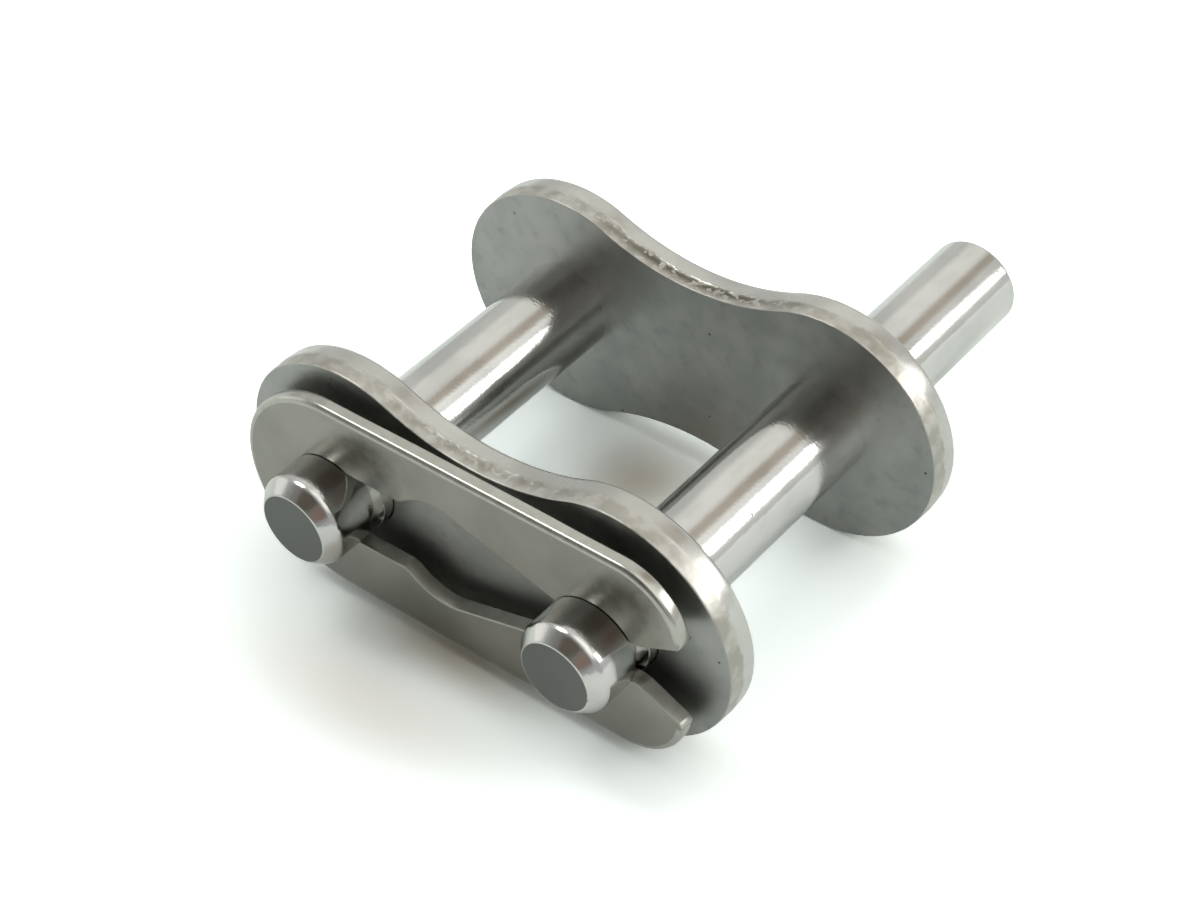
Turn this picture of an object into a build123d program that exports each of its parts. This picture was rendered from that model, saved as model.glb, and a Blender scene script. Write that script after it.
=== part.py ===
from build123d import *
import os
from math import acos, atan2, cos, degrees, hypot, radians, sin, sqrt, tan

# Connecting link of a roller chain: two link plates, two pins and a spring clip.
# One pin is made long, so that it carries an attachment behind the rear plate.
# +X runs along the chain, +Y along the pins towards the long pin's free end, +Z up.
# The origin is on the long pin's axis, in the outer face of the rear plate.
# Distances named front, back or end are measured from there towards the clip, along -Y.

# Chain sizes
pitch = 12.7
pin_diameter = 3.97
inner_width = 11.5

# Link plates
plate_thickness = 1.45
plate_height = 10.5
waist_height = 7.8
cover_hole_clearance = 0.04
die_roll = 0.16
burr_side_break = 0.05

# Pins
extension_length = 9.68
extension_diameter = 3.9
extension_end_round = 0.22
press_lead_length = 0.6
riveted_length = 0.9
riveted_end_round = 0.4
groove_depth = 0.335
groove_side_clearance = 0.1
head_length = 2.06
head_chamfer_length = 0.54
head_chamfer_depth = 0.45
head_shoulder_round = 0.18
head_face_round = 0.06

# Spring clip
clip_gap = 0.62
clip_thickness = 0.66
clip_height = 9.14
closed_end_reach = 4.42
slot_clearance = 0.07
head_passing_clearance = 0.515
clip_slide_travel = 5.45
leg_grip = 0.74
tip_reach = 4.0
tip_round = 2.85
mouth_neck_reach = 2.0
mouth_flare_angle = 26
clip_front_round = 0.2
clip_back_round = 0.14

# Places along the pins, from the rear plate to the pin heads
cover_back = plate_thickness + inner_width
cover_front = cover_back + plate_thickness
clip_back = cover_front + clip_gap
groove_back = clip_back - groove_side_clearance
groove_front = clip_back + clip_thickness + groove_side_clearance
head_end = groove_front + head_length

# Places along the chain
long_pin_x = 0
short_pin_x = long_pin_x - pitch
link_middle_x = (long_pin_x + short_pin_x) / 2

# Radii that pins, holes and clip share
pin_radius = pin_diameter / 2
extension_radius = extension_diameter / 2
groove_radius = pin_radius - groove_depth
slot_radius = groove_radius + slot_clearance
wide_radius = pin_radius + head_passing_clearance


def plate_profile(hole_radius):
    """A figure-eight: a lobe round each pin, and a hollow waist whose arcs are tangent to both lobes."""
    half_pitch = pitch / 2
    lobe = plate_height / 2
    waist = waist_height / 2
    hollow = (half_pitch**2 + waist**2 - lobe**2) / (2 * (lobe - waist))
    hollow_centre = waist + hollow
    hollow_angle = degrees(atan2(half_pitch, hollow_centre))
    with BuildSketch() as profile:
        with BuildLine():
            CenterArc((long_pin_x, 0), lobe, 0, 90 + hollow_angle)
            CenterArc((link_middle_x, hollow_centre), hollow, -90, hollow_angle)
            mirror(about=Plane.YZ.offset(link_middle_x))
            mirror(about=Plane.XZ)
        make_face()
        with Locations((long_pin_x, 0), (short_pin_x, 0)):
            Circle(hole_radius, mode=Mode.SUBTRACT)
    return profile.sketch


def stamped_edges(blank, front_round, back_round):
    """Stamping rolls the edges over on one side; the torn edges of the other are tumbled smooth."""
    front_face = blank.faces().sort_by(Axis.Y)[0]
    fillet(front_face.outer_wire().edges(), front_round)
    back_face = blank.faces().sort_by(Axis.Y)[-1]
    fillet(back_face.outer_wire().edges(), back_round)


def pin_profile(axis_x, rear_end):
    """Half the length section of a pin: rear end, bearing length, clip groove and chamfered head.

    The rear end is given by its corners, each with its radius and its place along the pin.
    """
    rear_corners = [(axis_x + radius, place) for radius, place in rear_end]
    with BuildSketch() as profile:
        with BuildLine():
            Polyline(
                (axis_x, rear_end[0][1]),
                *rear_corners,
                (axis_x + pin_radius, -groove_back),
                (axis_x + groove_radius, -groove_back),
                (axis_x + groove_radius, -groove_front),
                (axis_x + pin_radius, -groove_front),
                (axis_x + pin_radius, head_chamfer_length - head_end),
                (axis_x + pin_radius - head_chamfer_depth, -head_end),
                (axis_x, -head_end),
                close=True,
            )
        make_face()
    return profile.sketch


def turned_edges(pin, rear_round):
    """Rounds the rear rim, the shoulder of the head's chamfer and the rim of its flat face."""
    fillet(pin.edges().filter_by(GeomType.CIRCLE).group_by(Axis.Y)[-1], rear_round)
    fillet(pin.edges().filter_by(GeomType.CIRCLE).group_by(Axis.Y)[1], head_shoulder_round)
    fillet(pin.edges().filter_by(GeomType.CIRCLE).group_by(Axis.Y)[0], head_face_round)


def clip_profile():
    """A round closed end, a keyhole window, and two legs that grip the long pin's groove."""
    closed_end_x = short_pin_x - closed_end_reach + clip_height / 2
    tip_x = long_pin_x + tip_reach
    wide_x = short_pin_x + clip_slide_travel
    slot_middle_x = short_pin_x + clip_slide_travel / 2
    # The necks hold the groove from both sides
    neck = slot_radius - leg_grip
    neck_x = long_pin_x - sqrt(slot_radius**2 - neck**2)
    # The legs taper from a tangent of the wide hole to the first neck
    neck_distance = hypot(neck_x - wide_x, neck)
    tangent_angle = atan2(neck, neck_x - wide_x) + acos(wide_radius / neck_distance)
    taper_x = wide_x + wide_radius * cos(tangent_angle)
    taper_z = wide_radius * sin(tangent_angle)
    # The mouth flares from the second neck to beyond the tips
    mouth_x = long_pin_x + mouth_neck_reach
    outside_x = tip_x + tip_round
    outside_z = neck + (outside_x - mouth_x) * tan(radians(mouth_flare_angle))
    taper = [(taper_x, taper_z), (taper_x, -taper_z), (neck_x, -neck), (neck_x, neck)]
    lower_mouth = [(long_pin_x, -neck), (mouth_x, -neck), (outside_x, -outside_z)]
    upper_mouth = [(outside_x, outside_z), (mouth_x, neck), (long_pin_x, neck)]
    with BuildSketch() as profile:
        with Locations(((closed_end_x + tip_x) / 2, 0)):
            Rectangle(tip_x - closed_end_x, clip_height)
        fillet(profile.vertices().group_by(Axis.X)[-1], tip_round)
        with Locations((closed_end_x, 0)):
            Circle(clip_height / 2)
        with Locations((slot_middle_x, 0)):
            SlotCenterToCenter(clip_slide_travel, 2 * slot_radius, mode=Mode.SUBTRACT)
        with Locations((wide_x, 0)):
            Circle(wide_radius, mode=Mode.SUBTRACT)
        with Locations((long_pin_x, 0)):
            Circle(slot_radius, mode=Mode.SUBTRACT)
        Polygon(*taper, align=None, mode=Mode.SUBTRACT)
        Polygon(*lower_mouth, *upper_mouth, align=None, mode=Mode.SUBTRACT)
    return profile.sketch


# Rear plate: both pins are pressed into it, line to line, and its rolled edges are at the back
with BuildPart() as rear_plate:
    with BuildSketch(Plane.XZ):
        add(plate_profile(pin_radius))
    extrude(amount=plate_thickness)
    stamped_edges(rear_plate, burr_side_break, die_roll)

# Cover plate: slides on the pins with a running clearance, its rolled edges also at the back
with BuildPart() as cover_plate:
    with BuildSketch(Plane.XZ.offset(cover_back)):
        add(plate_profile(pin_radius + cover_hole_clearance))
    extrude(amount=plate_thickness)
    stamped_edges(cover_plate, burr_side_break, die_roll)

# Standard pin: riveted just past the rear plate
riveted_end = [(pin_radius, riveted_length)]
with BuildPart() as standard_pin:
    with BuildSketch():
        add(pin_profile(short_pin_x, riveted_end))
    revolve(axis=Axis((short_pin_x, 0, 0), (0, 1, 0)))
    turned_edges(standard_pin, riveted_end_round)

# Extended pin: carried on past the rear plate, a little slimmer so that it passes the plate's hole,
# with a fine taper inside the plate that leads it into the press fit
press_lead = [(extension_radius, 0), (pin_radius, -press_lead_length)]
extended_end = [(extension_radius, extension_length), *press_lead]
with BuildPart() as extended_pin:
    with BuildSketch():
        add(pin_profile(long_pin_x, extended_end))
    revolve(axis=Axis((long_pin_x, 0, 0), (0, 1, 0)))
    turned_edges(extended_pin, extension_end_round)

# Spring clip: lies in the grooves of both pins, closed round the standard pin
with BuildPart() as spring_clip:
    with BuildSketch(Plane.XZ.offset(clip_back)):
        add(clip_profile())
    extrude(amount=clip_thickness)
    fillet(spring_clip.faces().sort_by(Axis.Y)[0].edges(), clip_front_round)
    fillet(spring_clip.faces().sort_by(Axis.Y)[-1].edges(), clip_back_round)

pieces = {
    "rear_plate": rear_plate,
    "cover_plate": cover_plate,
    "standard_pin": standard_pin,
    "extended_pin": extended_pin,
    "spring_clip": spring_clip,
}
os.makedirs("parts", exist_ok=True)
for name, piece in pieces.items():
    piece.part.label = name
    export_step(piece.part, f"parts/{name}.step")
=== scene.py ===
# %% [markdown]
# A connecting link closes a roller chain. Two figure-eight plates stand on edge, two pins join
# them, and a flat spring clip lies in the grooves of both pins and keeps the front plate on. One
# pin is long and carries an attachment behind the rear plate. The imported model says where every
# piece is, so each piece here takes its place and its size from the frame. The work is done in
# millimetres, and each mesh is brought down to metres when it is finished.

# %% Load the frame
import math

import bmesh
import bpy
from mathutils import Matrix, Vector, noise


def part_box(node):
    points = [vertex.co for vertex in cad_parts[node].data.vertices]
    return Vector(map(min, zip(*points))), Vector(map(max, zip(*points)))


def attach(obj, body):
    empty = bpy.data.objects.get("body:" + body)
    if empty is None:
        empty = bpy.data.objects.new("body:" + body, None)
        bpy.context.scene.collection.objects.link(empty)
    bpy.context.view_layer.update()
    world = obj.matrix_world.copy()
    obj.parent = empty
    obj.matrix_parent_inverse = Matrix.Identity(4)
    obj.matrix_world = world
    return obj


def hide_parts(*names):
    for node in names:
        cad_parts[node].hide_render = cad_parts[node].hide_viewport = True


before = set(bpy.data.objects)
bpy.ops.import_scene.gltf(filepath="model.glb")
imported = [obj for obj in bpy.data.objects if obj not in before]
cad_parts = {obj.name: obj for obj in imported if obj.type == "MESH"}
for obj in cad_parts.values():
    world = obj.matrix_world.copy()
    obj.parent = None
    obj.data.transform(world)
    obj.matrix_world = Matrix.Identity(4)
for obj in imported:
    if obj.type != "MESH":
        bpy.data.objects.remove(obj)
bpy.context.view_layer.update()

mm = 0.001
view = bpy.context.scene.view_settings
view.view_transform = "Standard"


# %% [markdown]
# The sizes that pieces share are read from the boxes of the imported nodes. The plates are as high
# as their round lobes, the standard pin is as wide as both pins are between the plates, and the
# clip's box gives the groove that it lies in. Only sizes that no box shows, such as the height of
# the waist, are written here as numbers.

# %% Sizes from the frame
def box_in_mm(node):
    """Lowest and highest corner of a node, in millimetres."""
    low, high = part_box(node)
    return low / mm, high / mm


rear_low, rear_high = box_in_mm("rear_plate")
cover_low, cover_high = box_in_mm("cover_plate")
short_low, short_high = box_in_mm("standard_pin")
long_high = box_in_mm("extended_pin")[1]
clip_low, clip_high = box_in_mm("spring_clip")

lobe_radius = (rear_high.z - rear_low.z) / 2
long_pin_x = rear_high.x - lobe_radius
short_pin_x = rear_low.x + lobe_radius
half_pitch = (long_pin_x - short_pin_x) / 2
link_middle_x = (long_pin_x + short_pin_x) / 2
pin_radius = (short_high.x - short_low.x) / 2
head_end = short_low.y
floor_z = rear_low.z

waist_half_height = 3.9
hole_clearance = 0.04
groove_depth = 0.335
groove_side_clearance = 0.1
slot_clearance = 0.07

groove_radius = pin_radius - groove_depth
slot_radius = groove_radius + slot_clearance
print("pins at", short_pin_x, long_pin_x, "radius", pin_radius)


# %% [markdown]
# Every outline in this link is made of arcs and straight runs, as a press tool's is. Two small
# helpers draw them. An arc is a corner spun about its centre, and a straight run is a corner
# extruded and moved. Both give back the corner that they end in, so an outline reads as a walk
# round the piece.

# %% Helpers that draw an outline
facing_front = (0, -1, 0)
arc_step = 0.075


def add_corner(bm, x, z):
    return bm.verts.new((x, 0, z))


def add_arc(bm, start, centre_x, centre_z, angle):
    """Runs the outline on round a centre. A positive angle turns from +X towards +Z."""
    centre = Vector((centre_x, 0, centre_z))
    length = abs(angle) * (start.co - centre).length
    spun = bmesh.ops.spin(
        bm,
        geom=[start],
        cent=centre,
        axis=facing_front,
        angle=angle,
        steps=max(2, round(length / arc_step)),
    )
    return [part for part in spun["geom_last"] if isinstance(part, bmesh.types.BMVert)][0]


def add_straight(bm, start, x, z):
    """Runs the outline on to a place."""
    made = bmesh.ops.extrude_vert_indiv(bm, verts=[start])
    end = made["verts"][0]
    bmesh.ops.translate(bm, verts=[end], vec=Vector((x, 0, z)) - end.co)
    return end


# %% [markdown]
# A stamping is its outline given a thickness. The outline is filled with one face, the face is
# extruded along the pins, and the two rims are bevelled: one is rolled over by the die and the
# other only tumbled smooth. Bevelling before anything else is added keeps the rims clean, because
# every corner there has just three edges. Each rim is given as its radius and its number of
# steps.

# %% Helpers that make a stamping
touching = 1e-4


def mirror_outline(bm, axis):
    bmesh.ops.mirror(
        bm,
        geom=bm.verts[:] + bm.edges[:],
        matrix=Matrix.Identity(4),
        merge_dist=touching,
        axis=axis,
    )
    bmesh.ops.remove_doubles(bm, verts=bm.verts, dist=touching)


def give_thickness(bm, front_y, back_y):
    """Fills the outline, and extrudes it from the front face to the back face."""
    filled = bmesh.ops.contextual_create(bm, geom=bm.edges[:])
    bmesh.ops.translate(bm, verts=bm.verts, vec=(0, front_y, 0))
    extruded = bmesh.ops.extrude_face_region(bm, geom=filled["faces"])
    moved = [part for part in extruded["geom"] if isinstance(part, bmesh.types.BMVert)]
    bmesh.ops.translate(bm, verts=moved, vec=(0, back_y - front_y, 0))
    bmesh.ops.recalc_face_normals(bm, faces=bm.faces)


def bevel(bm, parts, size, steps, affect="EDGES"):
    bmesh.ops.bevel(
        bm,
        geom=parts,
        offset=size,
        offset_type="OFFSET",
        segments=steps,
        profile=0.5,
        affect=affect,
        clamp_overlap=False,
        material=-1,
    )


def round_rim(bm, y, radius, steps, chosen=lambda v: True):
    """Rounds the rim of the flat face that lies at y, or its chosen part."""
    rim = [
        edge for edge in bm.edges
        if len(edge.link_faces) == 2 and all(abs(v.co.y - y) < touching for v in edge.verts)
    ]
    bevel(bm, [edge for edge in rim if all(chosen(v) for v in edge.verts)], radius, steps)


def mark_cut_wall(bm, front_y, back_y):
    """Marks all but the two flat faces as cut."""
    cut = bm.verts.layers.float.new("cut")
    for v in bm.verts:
        flat = min(abs(v.co.y - front_y), abs(v.co.y - back_y)) < touching
        v[cut] = 0.0 if flat else 1.0


# %% [markdown]
# Every piece is finished in the same way. Polished steel shows every fault of its shading, so two
# kinds of edges are marked sharp: corners, and the border of every flat face, which then mirrors
# as flat steel right up to its rim. Weighted normals do the rest, and let the broad walls win
# over the narrow rounds beside them. Then the piece rides on its body and takes the place of the
# plain node.

# %% Helper that finishes a piece
sharp_angle = math.radians(38)
flat_facing = 0.99999
broad_face_weight = 100


def mark_sharp_edges(bm):
    bm.normal_update()
    flat = {face for face in bm.faces if abs(face.normal.y) > flat_facing}
    for edge in bm.edges:
        borders_flat = len([face for face in edge.link_faces if face in flat]) == 1
        if borders_flat or edge.calc_face_angle(math.pi) > sharp_angle:
            edge.smooth = False


def finish_piece(bm, node, body, material):
    mark_sharp_edges(bm)
    bmesh.ops.scale(bm, vec=(mm, mm, mm), verts=bm.verts)
    mesh = bpy.data.meshes.new(node + "_steel")
    bm.to_mesh(mesh)
    bm.free()
    for face in mesh.polygons:
        face.use_smooth = True
    mesh.materials.append(material)
    piece = bpy.data.objects.new(node + "_steel", mesh)
    bpy.context.scene.collection.objects.link(piece)
    weighted = piece.modifiers.new("weighted normals", "WEIGHTED_NORMAL")
    weighted.keep_sharp = True
    weighted.weight = broad_face_weight
    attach(piece, body)
    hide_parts(node)
    triangles = sum(len(face.vertices) - 2 for face in mesh.polygons)
    print(piece.name, "has", triangles, "triangles")


# %% [markdown]
# The steel, the paper and the room are all trees of nodes, which are hard to read when every node
# and link is written out. One small class adds the kinds of node that they share: vector
# arithmetic, plain arithmetic, a soft ramp between two levels and a blend of two colours. What
# goes into a node may be a number, a colour or the socket of another node, so patterns can be
# stacked freely.

# %% Helpers that build a tree of nodes
# The Mix node's sockets for colours, which share their names with its other sockets
mix_first, mix_second, mix_result = 6, 7, 2


class Nodes:
    """Adds nodes to a tree and feeds them with numbers, colours or sockets."""

    def __init__(self, tree):
        self.nodes = tree.nodes
        self.links = tree.links

    def feed(self, socket, value):
        if isinstance(value, bpy.types.NodeSocket):
            self.links.new(value, socket)
        elif socket.type == "RGBA":
            socket.default_value = (*value, 1)
        else:
            socket.default_value = value

    def vector(self, operation, first, second=None, scale=None):
        node = self.nodes.new("ShaderNodeVectorMath")
        node.operation = operation
        self.feed(node.inputs[0], first)
        if second is not None:
            self.feed(node.inputs[1], second)
        if scale is not None:
            self.feed(node.inputs["Scale"], scale)
        return node.outputs["Value" if operation in ("LENGTH", "DOT_PRODUCT") else "Vector"]

    def combine(self, operation, first, second):
        node = self.nodes.new("ShaderNodeMath")
        node.operation = operation
        self.feed(node.inputs[0], first)
        self.feed(node.inputs[1], second)
        return node.outputs["Value"]

    def ramp(self, value, low, high, to_low=0.0, to_high=1.0):
        """Goes softly from one number to another while a value rises from low to high."""
        node = self.nodes.new("ShaderNodeMapRange")
        node.interpolation_type = "SMOOTHSTEP"
        self.feed(node.inputs["Value"], value)
        self.feed(node.inputs["From Min"], low)
        self.feed(node.inputs["From Max"], high)
        self.feed(node.inputs["To Min"], to_low)
        self.feed(node.inputs["To Max"], to_high)
        return node.outputs["Result"]

    def blend(self, factor, first, second):
        """A colour between two others."""
        node = self.nodes.new("ShaderNodeMix")
        node.data_type = "RGBA"
        self.feed(node.inputs["Factor"], factor)
        self.feed(node.inputs[mix_first], first)
        self.feed(node.inputs[mix_second], second)
        return node.outputs[mix_result]


# %% [markdown]
# All five pieces are bare steel, and what tells them apart is how the steel was worked. The
# patterns are laid out in millimetres on the piece itself, so they stay on it when it moves. A
# finish is such a tree of nodes about the shader of a metal, with cloudy grain, round specks and
# the marks that the mesh carries.

# %% Helpers that build a steel finish
class Finish(Nodes):
    """A metal finish that is put together from patterns in millimetres on the piece."""

    def __init__(self, name):
        self.material = bpy.data.materials.new(name)
        self.material.use_nodes = True
        super().__init__(self.material.node_tree)
        self.shader = self.nodes["Principled BSDF"]
        self.shader.inputs["Metallic"].default_value = 1
        place = self.nodes.new("ShaderNodeTexCoord").outputs["Object"]
        self.place = self.vector("SCALE", place, scale=1 / mm)

    def grain(self, size, detail, stretch=(1, 1, 1)):
        """Cloudy noise from 0 to 1, whose clouds are about that many millimetres across."""
        node = self.nodes.new("ShaderNodeTexNoise")
        self.feed(node.inputs["Scale"], 1 / size)
        self.feed(node.inputs["Detail"], detail)
        self.feed(node.inputs["Vector"], self.vector("DIVIDE", self.place, stretch))
        return node.outputs["Fac"]

    def specks(self, spacing, radius, share):
        """1 inside small specks, of which a share is kept, and 0 elsewhere."""
        node = self.nodes.new("ShaderNodeTexVoronoi")
        self.feed(node.inputs["Scale"], 1 / spacing)
        self.feed(node.inputs["Vector"], self.place)
        inside = self.ramp(node.outputs["Distance"], 0.5 * radius / spacing, radius / spacing, 1, 0)
        kept = self.combine("LESS_THAN", node.outputs["Color"], share)
        return self.combine("MULTIPLY", inside, kept)

    def shades(self, pattern, low, high, colours):
        """Two shades that follow a pattern between two of its levels."""
        return self.blend(self.ramp(pattern, low, high), *colours)

    def marks(self, name):
        """How strongly a mark that is painted on the mesh shows at each place."""
        node = self.nodes.new("ShaderNodeAttribute")
        node.attribute_name = name
        return node.outputs["Fac"]

    def colour(self, socket):
        self.feed(self.shader.inputs["Base Color"], socket)

    def roughness(self, socket):
        self.feed(self.shader.inputs["Roughness"], socket)

    def relief(self, height, depth):
        """Turns a pattern into relief that is about that many millimetres deep."""
        node = self.nodes.new("ShaderNodeBump")
        self.feed(node.inputs["Strength"], 1)
        self.feed(node.inputs["Distance"], depth * mm)
        self.feed(node.inputs["Height"], height)
        self.feed(self.shader.inputs["Normal"], node.outputs["Normal"])

    def done(self):
        print(self.material.name, "has", len(self.nodes), "nodes")
        return self.material


# %% [markdown]
# The plates are stamped and then tumbled in a drum, which leaves the flat faces satin with soft
# clouds and a few dark specks. Where the punch tore through the steel, the edge is rougher,
# browner and pitted. The mesh carries marks for the cut wall, for the torn strip and for where
# the strip is pitted most, and the finish fills that last mark with fine pits of a dark colour.

# %% Plate steel
plate_face = (0.35, 0.36, 0.345), (0.43, 0.43, 0.41)
plate_blotch = (0.33, 0.335, 0.32)
plate_speck = (0.07, 0.065, 0.06)
plate_wall = (0.5, 0.495, 0.46), (0.58, 0.575, 0.54)
plate_strip = (0.4, 0.385, 0.34), (0.54, 0.525, 0.48)
plate_pit = (0.13, 0.12, 0.09)
wall_gloss = 0.14
fine_relief = 0.12
pit_relief = 7.0
plate_relief = 0.0036


def make_plate_steel():
    finish = Finish("plate_steel")
    clouds = finish.grain(2.4, detail=4)
    mottle = finish.grain(0.7, detail=3)
    fine = finish.grain(0.09, detail=2)
    cut = finish.marks("cut")
    torn = finish.marks("torn")
    patches = finish.ramp(finish.grain(0.3, detail=5), 0.42, 0.48)
    pits = finish.combine("MULTIPLY", patches, finish.marks("pits"))
    face = finish.shades(clouds, 0.35, 0.65, plate_face)
    face = finish.blend(finish.ramp(mottle, 0.5, 0.8), face, plate_blotch)
    face = finish.blend(finish.specks(1.5, 0.085, 0.4), face, plate_speck)
    wall = finish.shades(clouds, 0.35, 0.65, plate_wall)
    strip = finish.shades(mottle, 0.35, 0.65, plate_strip)
    worked = finish.blend(cut, face, finish.blend(torn, wall, strip))
    # The pits of the torn strip are coloured darker
    finish.colour(finish.blend(pits, worked, plate_pit))
    # The cut wall is glossier than the faces, and its torn strip isn't
    satin = finish.ramp(mottle, 0.3, 0.7, 0.34, 0.42)
    satin = finish.combine("SUBTRACT", satin, finish.combine("MULTIPLY", cut, wall_gloss))
    satin = finish.combine("ADD", satin, finish.combine("MULTIPLY", torn, wall_gloss))
    finish.roughness(satin)
    dents = finish.combine("ADD", mottle, finish.combine("MULTIPLY", fine, fine_relief))
    dents = finish.combine("SUBTRACT", dents, finish.combine("MULTIPLY", pits, pit_relief))
    finish.relief(dents, plate_relief)
    return finish.done()


plate_steel = make_plate_steel()


# %% [markdown]
# A link plate is a round lobe about each pin hole, with a hollow waist between them whose arcs
# are tangent to both lobes. A quarter of that outline is drawn about the middle of the link and
# mirrored twice.

# %% Plate outline
def plate_outline(bm):
    rise = (half_pitch**2 + waist_half_height**2 - lobe_radius**2) / 2
    waist_radius = rise / (lobe_radius - waist_half_height)
    waist_centre_z = waist_half_height + waist_radius
    waist_angle = math.atan2(half_pitch, waist_centre_z)
    side = add_corner(bm, half_pitch + lobe_radius, 0)
    join = add_arc(bm, side, half_pitch, 0, math.pi / 2 + waist_angle)
    add_arc(bm, join, 0, waist_centre_z, -waist_angle)
    mirror_outline(bm, "X")
    mirror_outline(bm, "Z")
    print("the waist's arcs have a radius of", round(waist_radius, 2))


# %% [markdown]
# The punch first shears the steel cleanly and then tears it. So the front part of a plate's edge
# is a rough strip that also falls back a little, and the back part rolls over softly. The wall
# between the two rims is divided into rows, and fine noise pushes the corners in, from the front
# rim up to a tear line that wanders. A second mark says where the strip is pitted most: in a band
# near that line, and most of all in the waist, where the plate is narrowest. The wall sinks a
# little there too.

# %% Torn strip
wall_rows = 15
tear_share = 0.46
tear_border = 0.04
tear_fall = 0.03
roll_fall = 0.05
tear_roughness = 0.014
pit_depth = 0.02
pit_line_share = 0.72
pit_band = 0.26
waist_reach = 4.2
waist_gain = 1.3
# Each layer of noise has its height, and how often it turns in a millimetre
tear_wander = [(0.12, 1.1), (0.07, 4.0)]
tear_crumble = [(0.6, 2.7), (0.4, 7.0)]


def layered_noise(place, layers):
    return sum(height * noise.noise(place * often) for height, often in layers)


def bell(distance, width):
    """1 at no distance, falling softly to nothing over about twice the width."""
    return math.exp(-((distance / width) ** 2))


def smooth_step(low, high, value):
    share = min(1, max(0, (value - low) / (high - low)))
    return share * share * (3 - 2 * share)


def cut_rows(bm, front_y, back_y):
    """Divides the wall between the two rims into rows."""
    middle = (front_y + back_y) / 2
    across = [
        edge for edge in bm.edges
        if (edge.verts[0].co.y - middle) * (edge.verts[1].co.y - middle) < 0
    ]
    bmesh.ops.subdivide_edges(bm, edges=across, cuts=wall_rows, use_grid_fill=True)


def tear_wall(bm, front_y, back_y, pitting):
    """Roughens the front part of the wall, and marks it as torn and where it is pitted."""
    torn = bm.verts.layers.float.new("torn")
    pits = bm.verts.layers.float.new("pits")
    wall = [v for v in bm.verts if front_y + touching < v.co.y < back_y - touching]
    bm.normal_update()
    tear_line = tear_share * (back_y - front_y)
    for v in wall:
        depth = v.co.y - front_y
        line = tear_line + layered_noise(v.co, tear_wander)
        share = 1 - smooth_step(line - tear_border, line + tear_border, depth)
        waist = bell(v.co.x, waist_reach)
        near_line = bell(depth - pit_line_share * tear_line, pit_band)
        pit = share * near_line * min(1, waist_gain * waist) * pitting
        crumble = layered_noise(v.co, tear_crumble)
        fall = tear_fall * max(0, 1 - depth / tear_line)
        fall += roll_fall * max(0, (depth - line) / (back_y - front_y - line)) ** 2
        inset = fall + share * tear_roughness * (0.5 + crumble) + pit * pit_depth
        v[torn] = share
        v[pits] = pit
        v.co -= Vector((v.normal.x, 0, v.normal.z)) * inset


# %% [markdown]
# The pin holes come last. The two flat faces are taken out and filled again between the outline
# and two rings, and the rings of both faces are bridged into the walls of the holes. The torn
# strip is pitted most on the rear plate, so each plate is given its own amount of pitting.

# %% Plates
hole_steps = 128
front_rim = (0.07, 3)
back_rim = (0.16, 5)
rear_pitting = 1.0
cover_pitting = 0.35


def open_cap(bm, y, hole_radius):
    """Gives the flat face at y its two pin holes."""
    cap = [face for face in bm.faces if all(abs(v.co.y - y) < touching for v in face.verts)]
    bmesh.ops.delete(bm, geom=cap, context="FACES_ONLY")
    loops = [
        edge for edge in bm.edges
        if edge.is_boundary and abs(edge.verts[0].co.y - y) < touching
    ]
    for x in (-half_pitch, half_pitch):
        turn = Matrix.Translation((x, y, 0)) @ Matrix.Rotation(math.pi / 2, 4, "X")
        ring = bmesh.ops.create_circle(bm, segments=hole_steps, radius=hole_radius, matrix=turn)
        loops += [edge for edge in bm.edges if edge.is_wire and edge.verts[0] in ring["verts"]]
    bmesh.ops.triangle_fill(bm, edges=loops, use_beauty=True, use_dissolve=False)


def make_plate(node, body, hole_radius, low, high, pitting):
    front_y, back_y = low.y, high.y
    bm = bmesh.new()
    plate_outline(bm)
    give_thickness(bm, front_y, back_y)
    round_rim(bm, back_y, *back_rim)
    round_rim(bm, front_y, *front_rim)
    cut_rows(bm, front_y, back_y)
    tear_wall(bm, front_y, back_y, pitting)
    for y in (front_y, back_y):
        open_cap(bm, y, hole_radius)
    rims = [edge for edge in bm.edges if edge.is_boundary]
    for x in (-half_pitch, half_pitch):
        pair = [edge for edge in rims if edge.verts[0].co.x * x > 0]
        bmesh.ops.bridge_loops(bm, edges=pair)
    bmesh.ops.translate(bm, verts=bm.verts, vec=(link_middle_x, 0, 0))
    bmesh.ops.recalc_face_normals(bm, faces=bm.faces)
    mark_cut_wall(bm, front_y, back_y)
    finish_piece(bm, node, body, plate_steel)


cover_hole = pin_radius + hole_clearance
make_plate("rear_plate", "pinned_frame", pin_radius, rear_low, rear_high, rear_pitting)
make_plate("cover_plate", "cover", cover_hole, cover_low, cover_high, cover_pitting)


# %% [markdown]
# The pins are ground and polished, so they mirror the room in long stripes. A little relief makes
# the borders of the stripes ragged, as they are on real ground steel. The flat end faces are only
# parted off and stay duller, which is a mark on the mesh too.

# %% Pin steel
pin_ground = (0.56, 0.56, 0.535), (0.65, 0.645, 0.615)
pin_speck = (0.12, 0.11, 0.1)
pin_face = (0.145, 0.15, 0.14)
parted_dullness = 0.25
wave_relief = 1.5
pin_relief = 0.0035


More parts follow.
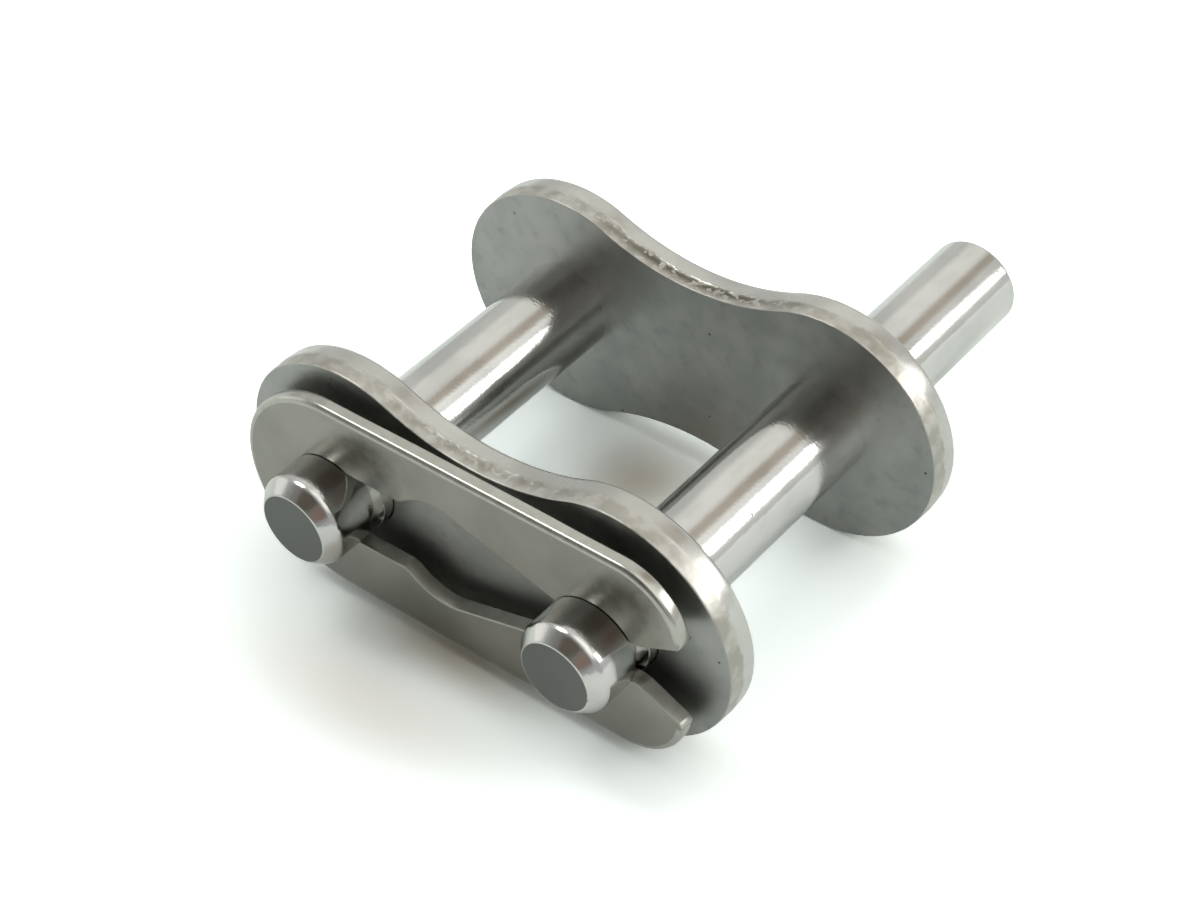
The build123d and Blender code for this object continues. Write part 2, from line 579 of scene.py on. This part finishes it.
def make_pin_steel():
    finish = Finish("pin_steel")
    clouds = finish.grain(1.8, detail=3, stretch=(1, 2, 1))
    fine = finish.grain(0.12, detail=3)
    clean = finish.shades(clouds, 0.35, 0.65, pin_ground)
    specked = finish.blend(finish.specks(1.2, 0.07, 0.35), clean, pin_speck)
    face = finish.marks("parted_face")
    finish.colour(finish.blend(face, specked, pin_face))
    polished = finish.ramp(clouds, 0.3, 0.7, 0.1, 0.16)
    dull = finish.combine("MULTIPLY", face, parted_dullness)
    finish.roughness(finish.combine("ADD", polished, dull))
    waves = finish.combine("MULTIPLY", clouds, wave_relief)
    finish.relief(finish.combine("ADD", fine, waves), pin_relief)
    return finish.done()


pin_steel = make_pin_steel()


# %% [markdown]
# A pin is turned on a lathe, so it is half of its length section spun once round its axis. The
# rings at its corners are bevelled afterwards: a large round at the riveted end, and small ones
# on the head. Each round is given as its radius and its number of steps. The head stands close
# before the clip.

# %% Pins
turning_steps = 144
head_chamfer_length = 0.54
head_chamfer_depth = 0.45
head_shoulder_round = (0.14, 5)
head_face_round = (0.06, 4)
groove_edge_round = (0.02, 2)
head_gap = 0.03
groove_front = clip_low.y - head_gap
groove_back = clip_high.y + groove_side_clearance
extension_radius = 1.95
extension_end_round = (0.22, 5)
press_lead_length = 0.6
riveted_end_round = (0.4, 5)
ring_slack = 1e-3


def round_ring(bm, y, radius, size, steps):
    """Rounds the ring of edges at one corner of a turned piece."""
    def on_ring(v):
        off_radius = abs(math.hypot(v.co.x, v.co.z) - radius)
        return abs(v.co.y - y) < touching and off_radius < ring_slack

    ring = [edge for edge in bm.edges if all(on_ring(v) for v in edge.verts)]
    bevel(bm, ring, size, steps)


def turn_profile(bm, corners):
    """Turns a profile, given as radius and place along the pin, about the pin's axis."""
    verts = [bm.verts.new((radius, y, 0)) for radius, y in corners]
    edges = [bm.edges.new(pair) for pair in zip(verts, verts[1:])]
    bmesh.ops.spin(
        bm,
        geom=verts + edges,
        cent=(0, 0, 0),
        axis=(0, 1, 0),
        angle=2 * math.pi,
        steps=turning_steps,
        use_merge=True,
    )
    bmesh.ops.remove_doubles(bm, verts=bm.verts, dist=touching)


def make_pin(node, x, rear_corners, rear_round):
    """A pin from its rear end to its chamfered head, with the groove that the clip lies in."""
    rear_radius, rear_end = rear_corners[0]
    face_radius = pin_radius - head_chamfer_depth
    chamfer_y = head_end + head_chamfer_length
    corners = [
        (0, rear_end),
        (rear_radius / 2, rear_end),
        *rear_corners,
        (pin_radius, groove_back),
        (groove_radius, groove_back),
        (groove_radius, groove_front),
        (pin_radius, groove_front),
        (pin_radius, chamfer_y),
        (face_radius, head_end),
        (face_radius / 2, head_end),
        (0, head_end),
    ]
    bm = bmesh.new()
    turn_profile(bm, corners)
    round_ring(bm, rear_end, rear_radius, *rear_round)
    round_ring(bm, chamfer_y, pin_radius, *head_shoulder_round)
    round_ring(bm, head_end, face_radius, *head_face_round)
    for y in (groove_back, groove_front):
        round_ring(bm, y, pin_radius, *groove_edge_round)
    bmesh.ops.recalc_face_normals(bm, faces=bm.faces)
    face = bm.verts.layers.float.new("parted_face")
    for v in bm.verts:
        flat = any(abs(v.co.y - y) < ring_slack for y in (head_end, rear_end))
        v[face] = 1.0 if flat else 0.0
    bmesh.ops.translate(bm, verts=bm.verts, vec=(x, 0, 0))
    finish_piece(bm, node, "pinned_frame", pin_steel)


riveted_end = [(pin_radius, short_high.y)]
# A fine taper inside the rear plate leads the slimmer end into the press fit
press_lead = [(extension_radius, 0), (pin_radius, -press_lead_length)]
long_end = [(extension_radius, long_high.y), *press_lead]
make_pin("standard_pin", short_pin_x, riveted_end, riveted_end_round)
make_pin("extended_pin", long_pin_x, long_end, extension_end_round)


# %% [markdown]
# The clip is hardened spring strip. Its faces are smooth, a shade darker and warmer than the
# plates, and glossy enough to mirror the pin heads that stand before them. Its cut wall is
# brighter, and a second mark keeps that wall duller inside the window than it is outside.

# %% Spring steel
spring_face = (0.29, 0.285, 0.255), (0.35, 0.34, 0.305)
spring_speck = (0.12, 0.11, 0.09)
spring_wall = (0.44, 0.435, 0.39), (0.5, 0.495, 0.45)
sheared_dullness = 0.2
cloud_relief = 3.0
spring_relief = 0.003


def make_spring_steel():
    finish = Finish("spring_steel")
    clouds = finish.grain(2.8, detail=3)
    mottle = finish.grain(0.5, detail=3)
    cut = finish.marks("cut")
    face = finish.shades(clouds, 0.3, 0.7, spring_face)
    face = finish.blend(finish.specks(1.3, 0.06, 0.25), face, spring_speck)
    wall = finish.shades(mottle, 0.3, 0.7, spring_wall)
    finish.colour(finish.blend(cut, face, wall))
    sheared = finish.combine("MULTIPLY", cut, finish.marks("window"))
    satin = finish.ramp(mottle, 0.3, 0.7, 0.2, 0.27)
    dull = finish.combine("MULTIPLY", sheared, sheared_dullness)
    finish.roughness(finish.combine("ADD", satin, dull))
    waves = finish.combine("MULTIPLY", clouds, cloud_relief)
    finish.relief(finish.combine("ADD", mottle, waves), spring_relief)
    return finish.done()


spring_steel = make_spring_steel()


# %% [markdown]
# The clip is a closed round end, a keyhole window and two legs. The wide part of the window
# passes over a pin's head, the narrow part lies in the standard pin's groove, and the legs grip
# the groove of the long pin from both sides and then flare into a mouth. Only the upper half is
# walked, from the closed end over the tip and back along the window, and then mirrored. The
# corners that a press tool would leave sharp are rounded in the outline first, so that the rims
# can be bevelled afterwards. The rims of the outside are well rounded, and those of the window
# stay crisp.

# %% Spring clip
clip_half_height = (clip_high.z - clip_low.z) / 2
closed_end_x = clip_low.x + clip_half_height
tip_x = 4.0
tip_round = 2.85
clip_slide_travel = 5.45
head_passing_clearance = 0.515
wide_x = short_pin_x + clip_slide_travel
wide_radius = pin_radius + head_passing_clearance
leg_grip = 0.74
neck_z = slot_radius - leg_grip
mouth_x = 2.0
mouth_flare_angle = 26
mouth_slope = math.tan(math.radians(mouth_flare_angle))
corner_round = (0.22, 6)
corner_run = 0.34
clip_front_rim = (0.2, 6)
clip_back_rim = (0.14, 4)
window_front_rim = (0.06, 3)
window_back_rim = (0.04, 2)
outline_slack = 0.01


def walk_outside(bm):
    """From the closed end round the tip. Gives back the corner at the tip."""
    outer = add_corner(bm, clip_low.x, 0)
    top = add_arc(bm, outer, closed_end_x, 0, -math.pi / 2)
    round_x, round_z = tip_x - tip_round, clip_half_height - tip_round
    shoulder = add_straight(bm, top, round_x, clip_half_height)
    # The tip is where the round corner meets the flare of the mouth
    along = Vector((1, mouth_slope)).normalized()
    to_centre = Vector((round_x - mouth_x, round_z - neck_z))
    reach = to_centre.dot(along)
    off_line = to_centre - along * reach
    run = reach + math.sqrt(tip_round**2 - off_line.length_squared)
    tip = Vector((mouth_x, neck_z)) + along * run
    tip_angle = math.atan2(tip.y - round_z, tip.x - round_x)
    end = add_arc(bm, shoulder, round_x, round_z, tip_angle + corner_run / tip_round - math.pi / 2)
    return add_straight(bm, end, tip.x, tip.y)


def walk_window(bm, tip):
    """From the tip along mouth, seat, wide hole and slot. Gives back the sharp corners."""
    sharp = [tip, add_straight(bm, tip, mouth_x, neck_z)]
    neck_angle = math.asin(neck_z / slot_radius)
    neck_x = slot_radius * math.cos(neck_angle)
    sharp.append(add_straight(bm, sharp[-1], neck_x, neck_z))
    up = neck_angle + corner_run / slot_radius
    seat = add_straight(bm, sharp[-1], slot_radius * math.cos(up), slot_radius * math.sin(up))
    seat = add_arc(bm, seat, long_pin_x, 0, math.pi - 2 * up)
    sharp.append(add_straight(bm, seat, -neck_x, neck_z))
    # From there a taper runs as a tangent to the wide hole
    neck_distance = math.hypot(-neck_x - wide_x, neck_z)
    tangent = math.atan2(neck_z, -neck_x - wide_x) + math.acos(wide_radius / neck_distance)
    taper_x, taper_z = wide_x + wide_radius * math.cos(tangent), wide_radius * math.sin(tangent)
    wide = add_straight(bm, sharp[-1], taper_x, taper_z)
    slot_angle = math.pi - math.asin(slot_radius / wide_radius)
    wide = add_arc(bm, wide, wide_x, 0, slot_angle - corner_run / wide_radius - tangent)
    slot_x = wide_x + wide_radius * math.cos(slot_angle)
    sharp.append(add_straight(bm, wide, slot_x, slot_radius))
    slot = add_straight(bm, sharp[-1], short_pin_x, slot_radius)
    add_arc(bm, slot, short_pin_x, 0, math.pi / 2)
    return sharp


def on_outside(v):
    """Whether a corner lies on the closed end, a long side or the round of a tip."""
    x, z = v.co.x, abs(v.co.z)
    side_z = clip_half_height - outline_slack
    closed_end = x <= closed_end_x and math.hypot(x - closed_end_x, z) > side_z
    round_x, round_z = tip_x - tip_round, clip_half_height - tip_round
    beyond = x >= round_x and z >= round_z
    tip = beyond and math.hypot(x - round_x, z - round_z) > tip_round - outline_slack
    return closed_end or tip or z > side_z


def make_clip():
    bm = bmesh.new()
    tip = walk_outside(bm)
    sharp = walk_window(bm, tip)
    bevel(bm, sharp, *corner_round, affect="VERTICES")
    mirror_outline(bm, "Z")
    give_thickness(bm, clip_low.y, clip_high.y)
    window = bm.verts.layers.float.new("window")
    for v in bm.verts:
        v[window] = 0.0 if on_outside(v) else 1.0
    round_rim(bm, clip_low.y, *clip_front_rim, on_outside)
    round_rim(bm, clip_high.y, *clip_back_rim, on_outside)
    round_rim(bm, clip_low.y, *window_front_rim)
    round_rim(bm, clip_high.y, *window_back_rim)
    bmesh.ops.recalc_face_normals(bm, faces=bm.faces)
    bmesh.ops.triangulate(bm, faces=[face for face in bm.faces if len(face.verts) > 4])
    mark_cut_wall(bm, clip_low.y, clip_high.y)
    finish_piece(bm, "spring_clip", "clip", spring_steel)


make_clip()


# %% [markdown]
# The link stands on a sheet of white paper that is lit so strongly that it burns out round the
# link and only the nearest shadow keeps a tone. The lamps stay at a plain level for that. Instead
# the paper is a plain pale grey to the light that it throws back on the link, white to the steel
# that mirrors it, and brighter still to the camera. Three soft shadows are painted into its colour:
# a warm one beside the waist of each plate, and a wide pale one before the clip.

# %% Floor
paper_tint = (0.94, 1.0, 0.985)
paper_shade = 0.8
paper_in_mirror = 1.0
paper_to_camera = 1.6
paper_half_width_in_metres = 1.5
# The colours of the soft shadows that are painted on the paper
waist_shadow_colour = (0.42, 0.4, 0.35)
front_shadow_colour = (0.72, 0.72, 0.68)
# Painted soft shadows: colour, place of the middle, and half of the width and the depth
painted_shadows = [
    (waist_shadow_colour, (-7.3, -3.8), (4.2, 4.2)),
    (waist_shadow_colour, (-7.2, -15.6), (6.5, 2.6)),
    (front_shadow_colour, (-8.5, -19.5), (9.5, 4.0)),
]


def add_painted_shadow(paper, colour, shadow_colour, middle, reach):
    """Paints a soft shadow on the paper, which blends a colour towards a darker tone round a place.
    """
    place = paper.nodes.new("ShaderNodeTexCoord").outputs["Object"]
    away = paper.vector("SUBTRACT", place, (middle[0] * mm, middle[1] * mm, floor_z * mm))
    measured = paper.vector("DIVIDE", away, (reach[0] * mm, reach[1] * mm, 1))
    inside = paper.ramp(paper.vector("LENGTH", measured), 0, 1, 1, 0)
    return paper.blend(inside, colour, shadow_colour)


def make_paper():
    material = bpy.data.materials.new("paper")
    material.use_nodes = True
    paper = Nodes(material.node_tree)
    paper.nodes.remove(paper.nodes["Principled BSDF"])
    path = paper.nodes.new("ShaderNodeLightPath")
    shade = paper_shade
    for ray, seen in (("Is Glossy Ray", paper_in_mirror), ("Is Camera Ray", paper_to_camera)):
        lift = paper.nodes.new("ShaderNodeMix")
        paper.feed(lift.inputs["Factor"], path.outputs[ray])
        paper.feed(lift.inputs["A"], shade)
        paper.feed(lift.inputs["B"], seen)
        shade = lift.outputs["Result"]
    colour = paper_tint
    # The soft shadows are painted into the paper's colour, so the steel mirrors them too
    for shadow_colour, middle, reach in painted_shadows:
        colour = add_painted_shadow(paper, colour, shadow_colour, middle, reach)
    surface = paper.nodes.new("ShaderNodeBsdfDiffuse")
    paper.feed(surface.inputs["Color"], paper.vector("SCALE", colour, scale=shade))
    paper.feed(paper.nodes["Material Output"].inputs["Surface"], surface.outputs["BSDF"])
    return material


def make_floor():
    bm = bmesh.new()
    bmesh.ops.create_grid(bm, x_segments=1, y_segments=1, size=paper_half_width_in_metres)
    bmesh.ops.translate(bm, verts=bm.verts, vec=(0, 0, floor_z * mm))
    mesh = bpy.data.meshes.new("paper")
    bm.to_mesh(mesh)
    bm.free()
    floor = bpy.data.objects.new("paper", mesh)
    bpy.context.scene.collection.objects.link(floor)
    mesh.materials.append(make_paper())
    print("the paper lies at", floor_z, "and has", len(painted_shadows), "soft shades")


make_floor()


# %% [markdown]
# Bare steel shows what stands round it, so the room matters as much as the finish. The world is a
# soft studio, and every bright or dark part of it is a soft disc about a direction. It is paler
# behind the link and darker before it, which keeps the flat faces that look that way a calm grey.
# The smaller discs are the patches on the chamfers of the pin heads, where each place mirrors one
# direction.

# %% Room
room_base = (0.55, 0.56, 0.57)
# Colour, azimuth, elevation, and the angles at which a disc is full and gone
room_discs = [
    ((0.75, 0.75, 0.735), 0, 20, 30, 85),       # pale wall behind
    ((1.5, 1.5, 1.47), 80, 62, 15, 40),         # bright ceiling on the right
    ((0.25, 0.25, 0.24), 178, 40, 25, 60),      # dark side before the link
    ((1.15, 1.15, 1.12), -100, 8, 12, 30),      # low light on the left
    ((0.14, 0.12, 0.1), 178, 46, 12, 24),       # darkest, brownish part of the dark side
    ((0.28, 0.21, 0.18), 143, 24, 9, 16),       # small reddish patch
    ((0.55, 0.49, 0.42), 18, 50, 6, 14),        # small warm patch behind
    ((1.0, 1.0, 0.96), -23, 44, 10, 25),        # pale patch high up behind
    ((5.0, 5.0, 4.9), -90, 62, 7, 15),          # brightest patch of ceiling, on the left
]


def direction(azimuth, elevation):
    """A direction by its angle from +Y towards +X and its height above the floor, in degrees."""
    a, e = math.radians(azimuth), math.radians(elevation)
    return Vector((math.sin(a) * math.cos(e), math.cos(a) * math.cos(e), math.sin(e)))


def make_room():
    world = bpy.data.worlds.new("studio")
    world.use_nodes = True
    room = Nodes(world.node_tree)
    way = room.vector("NORMALIZE", room.nodes.new("ShaderNodeTexCoord").outputs["Generated"])
    colour = room_base
    for disc_colour, azimuth, elevation, full, gone in room_discs:
        along = room.vector("DOT_PRODUCT", way, direction(azimuth, elevation))
        full_along, gone_along = math.cos(math.radians(full)), math.cos(math.radians(gone))
        colour = room.blend(room.ramp(along, gone_along, full_along), colour, disc_colour)
    room.feed(room.nodes["Background"].inputs["Color"], colour)
    bpy.context.scene.world = world
    print("the room is made of", len(room_discs), "soft discs")


make_room()


# %% [markdown]
# The white streak that runs along every pin is the mirror image of a window. A single area lamp
# stands for it, behind the link and to the right. The lamp is small and near, so the streak keeps
# firm borders, and the camera itself doesn't see it.

# %% Window
window_azimuth, window_elevation = 55, 24.5
window_distance = 0.45
window_width, window_height = 0.2, 0.13
window_watts = 0.45
window_colour = (1, 0.99, 0.97)


def make_window():
    lamp = bpy.data.lights.new("window", "AREA")
    lamp.shape = "RECTANGLE"
    lamp.size, lamp.size_y = window_width, window_height
    lamp.energy = window_watts
    lamp.color = window_colour
    window = bpy.data.objects.new("window", lamp)
    bpy.context.scene.collection.objects.link(window)
    way = direction(window_azimuth, window_elevation)
    link_middle = Vector((link_middle_x, (cover_low.y + rear_high.y) / 2, 0)) * mm
    window.location = link_middle + way * window_distance
    window.rotation_euler = way.to_track_quat("Z", "Y").to_euler()
    window.visible_camera = False
    print("the window stands", window_distance, "m from the link")


make_window()


# %% [markdown]
# The camera's place, turn and lens were found from the photo, by fitting the known shapes of the
# plates and pins to their outlines. It is a close view with strong perspective and a slight roll.

# %% Camera
camera_place = Vector((40.9912, -62.5347, 65.8729))
camera_azimuth, camera_elevation = 139.391, 42.559
camera_roll = math.radians(-3.128)
sensor_width, lens_length = 36, 75.98
nearest_seen = 0.005


def make_camera():
    lens = bpy.data.cameras.new("camera")
    lens.sensor_width = sensor_width
    lens.lens = lens_length
    lens.clip_start = nearest_seen
    camera = bpy.data.objects.new("camera", lens)
    bpy.context.scene.collection.objects.link(camera)
    back = direction(camera_azimuth, camera_elevation)
    upright = back.to_track_quat("Z", "Y").to_matrix()
    rolled = upright @ Matrix.Rotation(camera_roll, 3, "Z")
    camera.matrix_world = Matrix.Translation(camera_place * mm) @ rolled.to_4x4()
    bpy.context.scene.camera = camera
    print("the camera looks from", tuple(camera_place))


make_camera()
